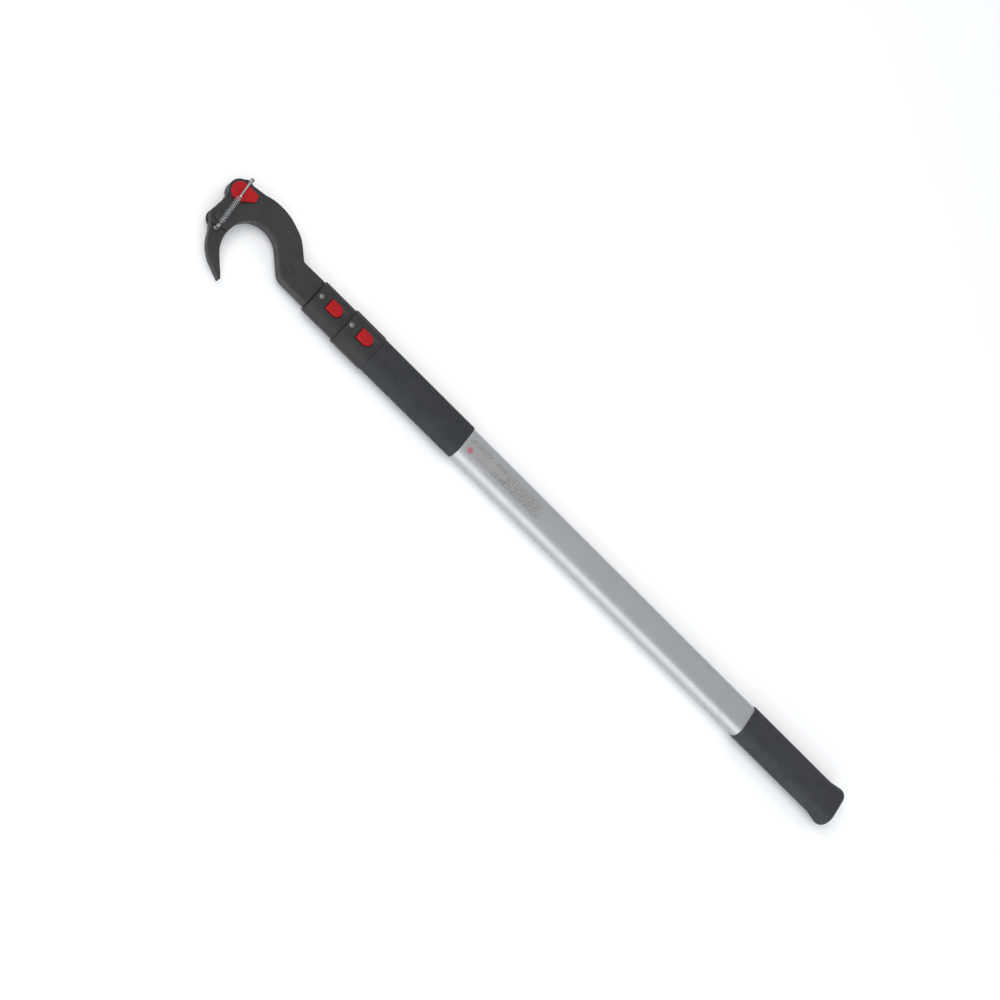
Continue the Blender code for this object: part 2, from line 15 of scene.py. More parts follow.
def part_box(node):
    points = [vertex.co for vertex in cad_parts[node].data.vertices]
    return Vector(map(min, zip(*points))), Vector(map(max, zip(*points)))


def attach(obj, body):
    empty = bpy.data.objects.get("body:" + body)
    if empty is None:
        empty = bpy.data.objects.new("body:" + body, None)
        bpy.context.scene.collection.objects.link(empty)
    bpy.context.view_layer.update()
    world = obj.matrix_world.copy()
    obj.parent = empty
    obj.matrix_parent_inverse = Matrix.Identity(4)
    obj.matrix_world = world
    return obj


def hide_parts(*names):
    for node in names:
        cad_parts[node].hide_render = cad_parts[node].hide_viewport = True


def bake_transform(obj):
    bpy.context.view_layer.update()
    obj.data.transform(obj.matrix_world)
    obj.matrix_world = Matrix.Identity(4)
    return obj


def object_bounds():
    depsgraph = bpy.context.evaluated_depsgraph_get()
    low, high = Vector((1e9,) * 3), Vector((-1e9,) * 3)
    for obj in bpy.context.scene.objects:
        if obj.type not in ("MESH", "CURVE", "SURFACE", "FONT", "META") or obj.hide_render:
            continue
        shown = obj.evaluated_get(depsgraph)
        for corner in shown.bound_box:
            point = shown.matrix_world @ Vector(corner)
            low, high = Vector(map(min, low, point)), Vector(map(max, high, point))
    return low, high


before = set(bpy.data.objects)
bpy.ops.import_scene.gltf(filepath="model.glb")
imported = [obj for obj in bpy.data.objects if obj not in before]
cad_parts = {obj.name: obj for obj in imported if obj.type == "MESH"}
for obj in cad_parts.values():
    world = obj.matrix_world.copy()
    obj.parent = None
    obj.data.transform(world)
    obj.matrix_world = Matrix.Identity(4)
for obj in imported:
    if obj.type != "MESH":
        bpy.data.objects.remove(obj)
cad_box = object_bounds()

# %% [markdown]
# ## Where things are
# It is easier to think in the lever's own directions: x along it from the sleeve's rear edge, y to
# the side where the hook opens, z out of the front face. One offset turns that into the model's
# frame, and it is measured from the model so that both always agree.

# %% Find the lever's own origin
tube_low, tube_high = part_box("outer_tube")
tube_middle = (tube_low + tube_high) / 2
LEVER = Vector((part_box("fore_sleeve")[0].x, tube_middle.y, tube_middle.z))
FLAT = 0.019                      # every section is two half rounds with this flat between them
print("lever origin", [round(value, 4) for value in LEVER])


def span_x(node):
    """Rear and front station of a node along the lever."""
    low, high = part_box(node)
    return low.x - LEVER.x, high.x - LEVER.x


def thickness(node):
    low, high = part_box(node)
    return high.y - low.y - FLAT


# %% [markdown]
# ## Shader node groups
# Paint is never even. Each group below makes one effect that several finishes share: cloudy
# unevenness, moulded grain, the fine lines that drawing leaves on aluminium, and wear along edges.
# A group gives out only a value or a mask, and the shader stays in the material.

# %% Helpers for shader groups


def shader_group(name, inputs, output):
    tree = bpy.data.node_groups.new(name, "ShaderNodeTree")
    for label, kind, value in inputs:
        socket = tree.interface.new_socket(name=label, in_out="INPUT", socket_type=kind)
        if value is not None:
            socket.default_value = value
    tree.interface.new_socket(name=output, in_out="OUTPUT", socket_type="NodeSocketFloat")
    return tree, tree.nodes.new("NodeGroupInput"), tree.nodes.new("NodeGroupOutput")


def add_node(tree, kind, settings=(), **values):
    """A node with its input sockets set or linked: by name, or as _0, _1 and so on by number."""
    made = tree.nodes.new(kind)
    for key, value in settings:
        setattr(made, key, value)
    for label, value in values.items():
        numbered = label[1:].isdigit()
        socket = made.inputs[int(label[1:]) if numbered else label.replace("_", " ")]
        if isinstance(value, bpy.types.NodeSocket):
            tree.links.new(value, socket)
        else:
            socket.default_value = value
    return made


VECTOR, FLOAT = "NodeSocketVector", "NodeSocketFloat"

# %% Cloudy unevenness
UNEVEN, given, out = shader_group("unevenness", [
    ("Vector", VECTOR, None), ("Scale", FLOAT, 60.0), ("Low", FLOAT, 0.0), ("High", FLOAT, 1.0),
], "Value")
cloud = add_node(UNEVEN, "ShaderNodeTexNoise", Vector=given.outputs["Vector"],
                 Scale=given.outputs["Scale"], Detail=4.0)
spread = add_node(UNEVEN, "ShaderNodeMapRange", Value=cloud.outputs["Fac"], From_Min=0.35,
                  From_Max=0.65, To_Min=given.outputs["Low"], To_Max=given.outputs["High"])
UNEVEN.links.new(spread.outputs["Result"], out.inputs["Value"])
print("made", UNEVEN.name)

# %% Moulded grain: small rounded cells with finer noise on top
GRAIN, given, out = shader_group("moulded_grain", [
    ("Vector", VECTOR, None), ("Scale", FLOAT, 900.0)], "Height")
cells = add_node(GRAIN, "ShaderNodeTexVoronoi", [("feature", "SMOOTH_F1")],
                 Vector=given.outputs["Vector"], Scale=given.outputs["Scale"])
fine = add_node(GRAIN, "ShaderNodeTexNoise", Vector=given.outputs["Vector"],
                Scale=given.outputs["Scale"], Detail=3.0)
both = add_node(GRAIN, "ShaderNodeMath", [("operation", "ADD")], _0=cells.outputs["Distance"],
                _1=fine.outputs["Fac"])
GRAIN.links.new(both.outputs[0], out.inputs["Height"])
print("made", GRAIN.name)

# %% Drawn lines: noise stretched a hundred times along the lever
LINES, given, out = shader_group("drawn_lines", [
    ("Vector", VECTOR, None), ("Scale", FLOAT, 1500.0)], "Value")
narrow = add_node(LINES, "ShaderNodeVectorMath", [("operation", "MULTIPLY")],
                  _0=given.outputs["Vector"], _1=(0.01, 1.0, 1.0))
streak = add_node(LINES, "ShaderNodeTexNoise", Vector=narrow.outputs[0],
                  Scale=given.outputs["Scale"], Detail=2.0)
LINES.links.new(streak.outputs["Fac"], out.inputs["Value"])
print("made", LINES.name)

# %% Worn edges: where the surface is sharply convex, broken up by noise
WORN, given, out = shader_group("worn_edges", [
    ("Vector", VECTOR, None), ("Amount", FLOAT, 0.3)], "Mask")
shape = WORN.nodes.new("ShaderNodeNewGeometry")
convex = add_node(WORN, "ShaderNodeMapRange", Value=shape.outputs["Pointiness"], From_Min=0.53,
                  From_Max=0.62)
patches = add_node(WORN, "ShaderNodeTexNoise", Vector=given.outputs["Vector"], Scale=350.0,
                   Detail=5.0)
patchy = add_node(WORN, "ShaderNodeMapRange", Value=patches.outputs["Fac"], From_Min=0.45,
                  From_Max=0.65)
where = add_node(WORN, "ShaderNodeMath", [("operation", "MULTIPLY")], _0=convex.outputs["Result"],
                 _1=patchy.outputs["Result"])
much = add_node(WORN, "ShaderNodeMath", [("operation", "MULTIPLY")], _0=where.outputs[0],
                _1=given.outputs["Amount"])
WORN.links.new(much.outputs[0], out.inputs["Mask"])
print("made", WORN.name)

# %% [markdown]
# ## Finishes
# Rubber, moulded plastic, coated steel and bright steel differ in colour, in how much their gloss
# varies and in how deep their grain is. One function mixes the groups, and each finish is one call
# with its own values. Numbers that are the same all over go straight on the shader's own sockets.

# %% A function that makes a finish


def grouped(tree, group, **values):
    node = tree.nodes.new("ShaderNodeGroup")
    node.node_tree = group
    for label, value in values.items():
        if isinstance(value, bpy.types.NodeSocket):
            tree.links.new(value, node.inputs[label])
        else:
            node.inputs[label].default_value = value
    return node.outputs[0]


def blend_colours(tree, share, first, second):
    mix = add_node(tree, "ShaderNodeMix", [("data_type", "RGBA")])
    tree.links.new(share, mix.inputs[0])
    for socket, colour in ((mix.inputs[6], first), (mix.inputs[7], second)):
        if isinstance(colour, bpy.types.NodeSocket):
            tree.links.new(colour, socket)
        else:
            socket.default_value = (*colour, 1.0)
    return mix.outputs[2]


def finish(name, dark, light, gloss, relief, metallic=0.0, wear=0.0, bare=(0.4, 0.4, 0.4),
           drawn=False, specular=0.5):
    """gloss is the lowest and highest roughness; relief is the grain's scale and its depth."""
    material = bpy.data.materials.new(name)
    material.use_nodes = True
    tree = material.node_tree
    shader = tree.nodes["Principled BSDF"]
    place = tree.nodes.new("ShaderNodeTexCoord").outputs["Object"]
    colour = blend_colours(tree, grouped(tree, UNEVEN, Vector=place, Scale=45.0), dark, light)
    if wear:
        colour = blend_colours(tree, grouped(tree, WORN, Vector=place, Amount=wear), colour, bare)
    tree.links.new(colour, shader.inputs["Base Color"])
    tree.links.new(grouped(tree, UNEVEN, Vector=place, Scale=120.0, Low=gloss[0], High=gloss[1]),
                   shader.inputs["Roughness"])
    surface = grouped(tree, LINES if drawn else GRAIN, Vector=place, Scale=relief[0])
    bump = add_node(tree, "ShaderNodeBump", Height=surface, Strength=1.0, Distance=relief[1])
    tree.links.new(bump.outputs["Normal"], shader.inputs["Normal"])
    shader.inputs["Metallic"].default_value = metallic
    shader.inputs["Specular IOR Level"].default_value = specular
    print("finish", name)
    return material


# %% The finishes of this wrench
ALUMINIUM = finish("anodised_aluminium", (0.460, 0.466, 0.474), (0.480, 0.486, 0.494), (0.44, 0.50),
                   (1800.0, 0.000003), metallic=1.0, drawn=True)
RUBBER = finish("black_rubber", (0.019, 0.021, 0.025), (0.024, 0.026, 0.030), (0.62, 0.78),
                (1400.0, 0.00006), specular=0.4)
GRIP_RUBBER = finish("grip_rubber", (0.023, 0.025, 0.030), (0.029, 0.031, 0.036), (0.60, 0.74),
                     (1100.0, 0.00008), specular=0.4)
POLYMER = finish("black_polymer", (0.016, 0.016, 0.017), (0.020, 0.020, 0.021), (0.48, 0.60),
                 (1700.0, 0.00003), wear=0.10, bare=(0.08, 0.08, 0.08), specular=0.4)
COATED = finish("black_coated_steel", (0.019, 0.020, 0.021), (0.025, 0.026, 0.027), (0.42, 0.55),
                (1300.0, 0.00002), wear=0.25, bare=(0.16, 0.16, 0.16), specular=0.4)
RED = finish("red_plastic", (0.33, 0.004, 0.006), (0.37, 0.006, 0.009), (0.40, 0.52),
             (1500.0, 0.00001), wear=0.15, bare=(0.50, 0.08, 0.08), specular=0.2)
BRIGHT = finish("bright_steel", (0.50, 0.51, 0.50), (0.60, 0.61, 0.60), (0.22, 0.36),
                (2200.0, 0.000004), metallic=1.0)
STUD = finish("dull_zinc", (0.20, 0.20, 0.19), (0.27, 0.27, 0.26), (0.36, 0.50), (2200.0, 0.000004),
              metallic=1.0)
SPRING = finish("spring_steel", (0.40, 0.41, 0.42), (0.50, 0.51, 0.52), (0.24, 0.34),
                (2600.0, 0.000002), metallic=1.0)
NYLON = finish("white_nylon", (0.55, 0.53, 0.47), (0.62, 0.60, 0.54), (0.40, 0.52),
               (1500.0, 0.00001))
LABEL = finish("grey_label", (0.430, 0.433, 0.434), (0.450, 0.453, 0.455), (0.44, 0.50),
               (900.0, 0.000002), metallic=1.0)
INK = finish("label_ink", (0.10, 0.10, 0.10), (0.16, 0.16, 0.16), (0.45, 0.55), (900.0, 0.000001))
RED_INK = finish("label_red_ink", (0.36, 0.09, 0.13), (0.42, 0.14, 0.18), (0.45, 0.55),
                 (900.0, 0.000001))

# %% [markdown]
# ## Drawing outlines
# The sheet-like pieces of the head are outlines given a thickness. Round stretches are arcs, so a
# few centres and radii say the whole shape, and the step is fine enough that no facet shows.

# %% Arcs, smooth lines and quarter turns


def arc(centre, radius, start_deg, end_deg, step_deg=4.0):
    steps = max(3, math.ceil(abs(end_deg - start_deg) / step_deg))
    points = []
    for i in range(steps + 1):
        angle = math.radians(start_deg + (end_deg - start_deg) * i / steps)
        points.append((centre[0] + radius * math.cos(angle), centre[1] + radius * math.sin(angle)))
    return points


def smooth(points, cuts=8):
    """A Catmull-Rom line through the points."""
    ends = [points[0], *points, points[-1]]
    line = []
    for i in range(len(points) - 1):
        p0, p1, p2, p3 = (Vector(p) for p in ends[i:i + 4])
        for k in range(cuts):
            t = k / cuts
            square, cube = 2 * p0 - 5 * p1 + 4 * p2 - p3, 3 * p1 - p0 - 3 * p2 + p3
            line.append(tuple(0.5 * (2 * p1 + (p2 - p0) * t + square * t * t + cube * t ** 3)))
    return line + [points[-1]]


def quarter_turn(steps):
    """Angles from nothing to a right angle, for a rounded edge."""
    return [math.pi / 2 * i / steps for i in range(steps + 1)]


# %% [markdown]
# ## Turning shapes into pieces
# Three ways of making cover nearly everything. A **shell** is a skin over flat-oval sections. A
# **turned** piece is a profile spun round an axis, as on a lathe. A **plate** is a flat curve with
# holes: Blender rounds a curve's edges cleanly even round small holes, where bevelling a mesh that
# was cut by a Boolean often breaks. Its flat faces keep a crisp border, or the rounding would shade
# them.

# %% Helpers that finish a piece
SHARP = math.radians(38)          # edges that turn more than this stay crisp


def piece_from(name, bm, material):
    """Moves the shape from the lever's directions into the model's frame and paints it."""
    bmesh.ops.remove_doubles(bm, verts=bm.verts, dist=1e-6)
    bmesh.ops.recalc_face_normals(bm, faces=bm.faces)
    bmesh.ops.translate(bm, verts=bm.verts, vec=LEVER)
    mesh = bpy.data.meshes.new(name)
    bm.to_mesh(mesh)
    bm.free()
    mesh.materials.append(material)
    mesh.shade_smooth()
    mesh.set_sharp_from_angle(angle=SHARP)
    thing = bpy.data.objects.new(name, mesh)
    bpy.context.scene.collection.objects.link(thing)
    return thing


def settle(piece, body, slot, *nodes):
    """Puts a piece on its body and hides the rough pieces that it stands for; the slot is not used.
    """
    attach(piece, body)
    if nodes:
        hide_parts(*nodes)
    print(f"{piece.name}: {len(piece.data.polygons)} faces on {body}")
    return piece


def plain_mesh(thing):
    """The evaluated shape as a mesh of its own, with no modifier left."""
    bpy.context.view_layer.update()
    graph = bpy.context.evaluated_depsgraph_get()
    return bpy.data.meshes.new_from_object(thing.evaluated_get(graph), depsgraph=graph)


# %% Flat-oval shells


def oval(x, thick, sides=20):
    points = []
    for side in (1, -1):
        for i in range(sides + 1):
            angle = math.pi * i / sides - side * math.pi / 2
            y = side * FLAT / 2 + thick / 2 * math.cos(angle)
            points.append((x, y, thick / 2 * math.sin(angle)))
    return points


def skin(rings, closed):
    bm = bmesh.new()
    loops = [[bm.verts.new(p) for p in ring] for ring in rings]
    pairs = list(zip(loops, loops[1:])) + ([(loops[-1], loops[0])] if closed else [])
    for a, b in pairs:
        for i in range(len(a)):
            j = (i + 1) % len(a)
            bm.faces.new((a[i], a[j], b[j], b[i]))
    if not closed:
        bm.faces.new(loops[0])
        bm.faces.new(loops[-1])
    return bm


def in_lengths(stations, longest=0.012):
    """Adds stations so that no face is long: a window cut in a long face would shade it badly."""
    filled = [stations[0]]
    for (x0, t0), (x1, t1) in zip(stations, stations[1:]):
        pieces = max(1, math.ceil(abs(x1 - x0) / longest))
        filled += [(x0 + (x1 - x0) * i / pieces, t0 + (t1 - t0) * i / pieces)
                   for i in range(1, pieces + 1)]
    return filled


def shell(name, outside, inside, material):
    """outside and inside list (station, thickness) from rear to front."""
    rings = [oval(x, t) for x, t in in_lengths(outside) + in_lengths(list(reversed(inside)))]
    return piece_from(name, skin(rings, closed=True), material)


def rounded_ends(rear, front, thick, rear_r, front_r, steps=5):
    """Stations of a straight shell whose outer edges are rounded."""
    stations = []
    for turn in reversed(quarter_turn(steps)):
        stations.append((rear + rear_r * (1 - math.sin(turn)),
                         thick - 2 * rear_r * (1 - math.cos(turn))))
    for turn in quarter_turn(steps):
        stations.append((front - front_r * (1 - math.sin(turn)),
                         thick - 2 * front_r * (1 - math.cos(turn))))
    return stations


# %% Turned pieces


def turned(name, profile, centre, material, segments=40):
    bm = bmesh.new()
    verts = [bm.verts.new((r, 0, z)) for r, z in profile]
    edges = [bm.edges.new(pair) for pair in zip(verts, verts[1:])]
    bmesh.ops.spin(bm, geom=verts + edges, cent=(0, 0, 0), axis=(0, 0, 1), angle=math.tau,
                   steps=segments, use_merge=True)
    bmesh.ops.translate(bm, verts=bm.verts, vec=(centre[0], centre[1], 0))
    return piece_from(name, bm, material)


# %% Plates with rounded edges


def keep_flats_flat(piece):
    """Makes the flat faces' borders sharp, so that the rounding beside them can't shade them."""
    bm = bmesh.new()
    bm.from_mesh(piece.data)
    for edge in bm.edges:
        if len({abs(face.normal.z) > 0.9999 for face in edge.link_faces}) == 2:
            edge.smooth = False
    bm.to_mesh(piece.data)
    bm.free()
    return piece


def plate(name, outline, low, high, edge, material, holes=()):
    """A plate with rounded edges; holes are (centre, radius)."""
    curve = bpy.data.curves.new(name, "CURVE")
    curve.dimensions = "2D"
    curve.fill_mode = "BOTH"
    curve.extrude = (high - low) / 2 - edge
    curve.bevel_depth = edge
    curve.bevel_resolution = 2
    curve.offset = -edge
    for points in [outline] + [arc(centre, radius, 0, 352, 8.0) for centre, radius in holes]:
        spline = curve.splines.new("POLY")
        spline.points.add(len(points) - 1)
        for point, (x, y) in zip(spline.points, points):
            point.co = (x, y, 0, 1)
        spline.use_cyclic_u = True
    thing = bpy.data.objects.new(name + "_curve", curve)
    bpy.context.scene.collection.objects.link(thing)
    mesh = plain_mesh(thing)
    bpy.data.objects.remove(thing)
    bm = bmesh.new()
    bm.from_mesh(mesh)
    bmesh.ops.translate(bm, verts=bm.verts, vec=(0, 0, (low + high) / 2))
    return keep_flats_flat(piece_from(name, bm, material))


# %% Cutting one piece out of another


def carve(piece, cutter):
    """Cuts one piece's solid out of another and removes the cutter."""
    boolean = piece.modifiers.new("cut", "BOOLEAN")
    boolean.operation = "DIFFERENCE"
    boolean.solver = "EXACT"
    boolean.object = cutter
    mesh = plain_mesh(piece)
    piece.modifiers.remove(boolean)
    piece.data = mesh
    bpy.data.objects.remove(cutter)


# %% [markdown]
# ## Camera, light and floor
# The camera looks down on the lever from its open side, far enough away to flatten the
# perspective. Three turns say how the lever lies in the view: how far it is rolled, how much the
# head leans towards us, and how much we see of the side. One large soft light from the open side
# draws the bright band along the tube, and an even sky does the rest.

# %% Set the camera
ROLL, LEAN, SIDE_VIEW = 135.3, -13.3, 29.0
VIEW_DISTANCE = 2.2
AIM = LEVER + Vector((-0.0692, 0.0122, -0.0068))
to_view = (Matrix.Rotation(math.radians(ROLL), 3, "Z") @ Matrix.Rotation(math.radians(LEAN), 3, "Y")
           @ Matrix.Rotation(math.radians(SIDE_VIEW), 3, "X"))
to_world = to_view.transposed()
camera_data = bpy.data.cameras.new("camera")
camera_data.lens = 79.2
camera_data.sensor_width = 36.0
camera = bpy.data.objects.new("camera", camera_data)
camera.matrix_world = Matrix.Translation(AIM + to_world.col[2] * VIEW_DISTANCE) @ to_world.to_4x4()
bpy.context.scene.collection.objects.link(camera)
bpy.context.scene.camera = camera
print("camera at", [round(value, 3) for value in camera.matrix_world.translation])

# %% Two soft lights


def soft_light(name, direction, distance, size, power, colour):
    light = bpy.data.lights.new(name, "AREA")
    light.shape = "RECTANGLE"
    light.size, light.size_y = size
    light.energy = power
    light.color = colour
    lamp = bpy.data.objects.new(name, light)
    away = Vector(direction).normalized()
    lamp.location = AIM + away * distance
    lamp.rotation_euler = away.to_track_quat("Z", "Y").to_euler()
    bpy.context.scene.collection.objects.link(lamp)


soft_light("side_light", (-0.2, 0.90, 0.42), 2.6, (3.6, 3.0), 45.0, (0.90, 0.95, 1.0))
soft_light("top_light", (0.55, 0.15, 1.0), 3.0, (2.0, 2.0), 34.0, (1.0, 1.0, 1.0))

# %% Make the sky and lay the floor
FLOOR_GAP = 0.0005                # the floor lies this far under the wrench
world = bpy.data.worlds.new("studio")
world.use_nodes = True
sky = world.node_tree.nodes["Background"]
sky.inputs["Color"].default_value = (0.96, 0.98, 1.0, 1.0)
sky.inputs["Strength"].default_value = 0.72
bpy.context.scene.world = world
bpy.context.scene.view_settings.view_transform = "Standard"

floor_paint = bpy.data.materials.new("pale_floor")
floor_paint.use_nodes = True
floor_shader = floor_paint.node_tree.nodes["Principled BSDF"]
floor_shader.inputs["Base Color"].default_value = (0.97, 0.97, 0.97, 1)
floor_shader.inputs["Roughness"].default_value = 0.9
floor_shape = bmesh.new()
bmesh.ops.create_grid(floor_shape, x_segments=4, y_segments=4, size=30.0)
floor_mesh = bpy.data.meshes.new("floor")
floor_shape.to_mesh(floor_mesh)
floor_shape.free()
floor_mesh.transform(Matrix.Translation((0, 0, cad_box[0].z - FLOOR_GAP)))
floor_mesh.materials.append(floor_paint)
floor = bpy.data.objects.new("floor", floor_mesh)
bpy.context.scene.collection.objects.link(floor)
print("lit, with a floor at", round(cad_box[0].z, 4))

# %% [markdown]
# ## The three tubes
# The tubes are drawn aluminium, so each is one straight flat-oval shell. The rough tubes have few
# sides, and a metal shows every one of them as a stripe, so they are made again with many sides.
# The two sliding ones carry a round hole for their lock pin, and the two outer ones a window where
# their latch button sinks in. A button is round towards the grip and straight towards the head.

# %% The D-shaped outline of a latch button
BUTTON_WIDTH, BUTTON_LENGTH = 0.0134, 0.0164


def d_outline(rear_x, grow):
    radius = BUTTON_WIDTH / 2
    front = rear_x + BUTTON_LENGTH + grow
    return [*arc((rear_x + radius, 0.0), radius + grow, 90, 270), (front, -radius - grow),
            (front, radius + grow)]


def d_solid(rear_x, levels, name, material):
    """A stack of D outlines; levels are (growth, height)."""
    rings = [[(x, y, z) for x, y in d_outline(rear_x, grow)] for grow, z in levels]
    return piece_from(name, skin(rings, closed=False), material)


# %% Make the tubes
WALLS = {"outer_tube": ("outer", 0.0016), "middle_tube": ("middle", 0.0015),
         "inner_tube": ("head", 0.0015)}
LATCHED = {"outer_tube": "outer", "middle_tube": "middle"}
SNAP_HOLES = {"middle_tube": ("middle_snap_clip", 0.0033),
              "inner_tube": ("inner_snap_clip", 0.0029)}
PIN_FROM_CLIP_FRONT = 0.006       # the clip's leaf reaches this far in front of its pin
RIM = 0.0012                      # the button's hidden flange
RIM_ROOM = RIM + 0.0004
LEAF_ROOM = 0.0029                # half the width of the slot for the latch leaf
CUT_TOP = 0.02                    # a cutter's top, above every tube


def post_cutter(name, x, y, radius, low, high):
    return turned(name, [(0, low), (radius, low), (radius, high), (0, high)], (x, y), ALUMINIUM)


def strip_outline(rear, front, half, pieces=12):
    """A strip with a round rear end, in short lengths."""
    stations = [rear + half + (front - rear - half) * i / pieces for i in range(1, pieces + 1)]
    return [*arc((rear + half, 0.0), half, 90, 270, 20.0), *[(x, -half) for x in stations],
            *[(x, half) for x in reversed(stations)]]


for node, (body, wall) in WALLS.items():
    rear, front = span_x(node)
    outer_t = thickness(node)
    tube = shell(node + "_skin", rounded_ends(rear, front, outer_t, 0.0003, 0.0003, 2),
                 [(rear, outer_t - 2 * wall), (front, outer_t - 2 * wall)], ALUMINIUM)
    if node in SNAP_HOLES:
        clip, hole_r = SNAP_HOLES[node]
        pin_x = span_x(clip)[1] - PIN_FROM_CLIP_FRONT
        carve(tube, post_cutter("hole", pin_x, 0.0, hole_r, 0.002, CUT_TOP))
    if node in LATCHED:
        button_rear = span_x(LATCHED[node] + "_latch_button")[0] + RIM
        leaf_rear, leaf_front = span_x(LATCHED[node] + "_latch_leaf")
        carve(tube, d_solid(button_rear, [(RIM_ROOM, 0.004), (RIM_ROOM, CUT_TOP)], "window",
                            ALUMINIUM))
        slot = strip_outline(leaf_rear, leaf_front, LEAF_ROOM)
        carve(tube, plate("slot", slot, 0.0045, CUT_TOP, 0.0, ALUMINIUM))
    settle(tube, body, "anodised_aluminium", node)

# %% [markdown]
# ## Latch buttons and their collars
# Each collar is moulded plastic with a D-shaped window. The window has a small chamfer that guides
# a gloved thumb. Its red button has the same outline and is crowned a little on top. Under it lies
# a leaf spring, a thin strip riveted at its front end, which bends down when the button is pressed.

# %% The sleeve behind the collars
SEAM = 0.0002                     # how far the sleeve and the second collar reach to close a gap
sleeve_rear, sleeve_front = span_x("fore_sleeve")
sleeve_front += SEAM
sleeve_bore = thickness("outer_tube") + 0.0006
sleeve = shell("fore_sleeve_skin",
               rounded_ends(sleeve_rear, sleeve_front, thickness("fore_sleeve"), 0.0005, 0.0003),
               [(sleeve_rear, sleeve_bore), (sleeve_front, sleeve_bore)], RUBBER)
settle(sleeve, "outer", "black_rubber", "fore_sleeve")

# %% Collars, buttons and their leaf springs
for stage, inner_node in (("outer", "middle_tube"), ("middle", "inner_tube")):
    collar_node = stage + "_collar"
    rear, front = span_x(collar_node)
    rear -= SEAM * (stage == "middle")
    collar_t = thickness(collar_node)
    tube_front = span_x(stage + "_tube")[1]
    bore, lip = thickness(stage + "_tube") + 0.0006, thickness(inner_node) + 0.0008
    collar = shell(collar_node + "_skin", rounded_ends(rear, front, collar_t, 0.0003, 0.0012),
                   [(rear, bore), (tube_front + 0.0003, bore), (tube_front + 0.0003, lip),
                    (front, lip)], POLYMER)
    button_rear = span_x(stage + "_latch_button")[0] + RIM
    top = collar_t / 2
    carve(collar, d_solid(button_rear, [(0.0003, top - 0.004), (0.0003, top - 0.0007),
                                        (0.0011, top + 0.0001), (0.0011, top + 0.002)],
                          "window", POLYMER))
    settle(collar, stage, "black_polymer", collar_node)

    button_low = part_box(stage + "_latch_button")[0].z - LEVER.z
    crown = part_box(stage + "_latch_button")[1].z - LEVER.z
    button = d_solid(button_rear, [(RIM, button_low), (RIM, top - 0.0013), (0.0, top - 0.0013),
                                   (0.0, crown - 0.0009), (-0.0002, crown - 0.0005),
                                   (-0.0006, crown - 0.0002), (-0.0013, crown - 0.00005),
                                   (-0.0030, crown)], stage + "_latch_button_skin", RED)
    settle(button, stage + "_latch", "red_plastic", stage + "_latch_button")

    leaf_rear, leaf_front = span_x(stage + "_latch_leaf")
    leaf_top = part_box(stage + "_latch_leaf")[1].z - LEVER.z
    leaf = plate(stage + "_latch_leaf_skin", strip_outline(leaf_rear, leaf_front, 0.0024),
                 leaf_top - 0.00025, leaf_top, 0.00004, SPRING)
    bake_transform(leaf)
    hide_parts(stage + "_latch_leaf")

# %% [markdown]
# ## The rear grip
# A rubber boot pulled over the tube's end. It is nearly flush with the tube, then flares into a
# rounded butt that keeps the hand from slipping off. The flare and the butt's round back are worked
# out from the box of the rough piece, as arcs in the thickness.

# %% Make the grip
grip_rear, grip_front = span_x("rear_grip")
butt_t = 2 * (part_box("rear_grip")[1].z - LEVER.z)
grip_t = 0.0228
FLARE_START, FLARE_END = 0.0220, 0.0085        # from the butt's rear
stations = [(grip_rear, butt_t - 0.0150)]
for turn in reversed(quarter_turn(8)):
    stations.append((grip_rear + 0.0070 * (1 - math.sin(turn)),
                     butt_t - 0.0100 * (1 - math.cos(turn))))
for i in range(1, 9):
    share = i / 8
    stations.append((grip_rear + FLARE_END + (FLARE_START - FLARE_END) * share,
                     butt_t + (grip_t - butt_t) * share ** 0.8))
for turn in quarter_turn(4):
    stations.append((grip_front - 0.0006 * (1 - math.sin(turn)),
                     grip_t - 0.0012 * (1 - math.cos(turn))))
socket_t = thickness("outer_tube") + 0.0006
stations.append((grip_front, socket_t))
stations.append((span_x("outer_tube")[0] - 0.0003, socket_t))
grip = piece_from("rear_grip_skin", skin([oval(x, t) for x, t in stations], closed=False),
                  GRIP_RUBBER)
settle(grip, "outer", "black_rubber", "rear_grip")

# %% [markdown]
# ## Rivet heads with Geometry Nodes
# Rivet heads repeat, so one node tree makes them all: it puts a low dome with a rim on every point
# it is given. The dome's size is an input, so the same tree makes the bright studs by the buttons
# and the dark rivets of the head. The result is turned into a plain mesh.

# %% Helpers that build and run a geometry tree


def geometry_tree(name, inputs):
    tree = bpy.data.node_groups.new(name, "GeometryNodeTree")
    tree.interface.new_socket(name="Geometry", in_out="INPUT", socket_type="NodeSocketGeometry")
    for label, kind in inputs:
        tree.interface.new_socket(name=label, in_out="INPUT", socket_type=kind)
    tree.interface.new_socket(name="Geometry", in_out="OUTPUT", socket_type="NodeSocketGeometry")
    return tree, tree.nodes.new("NodeGroupInput").outputs, tree.nodes.new("NodeGroupOutput")


def close_tree(tree, geometry, material, out):
    """Every tree ends in real geometry with its material set."""
    real = add_node(tree, "GeometryNodeRealizeInstances", Geometry=geometry)
    painted = add_node(tree, "GeometryNodeSetMaterial", Geometry=real.outputs[0], Material=material)
    tree.links.new(painted.outputs[0], out.inputs[0])


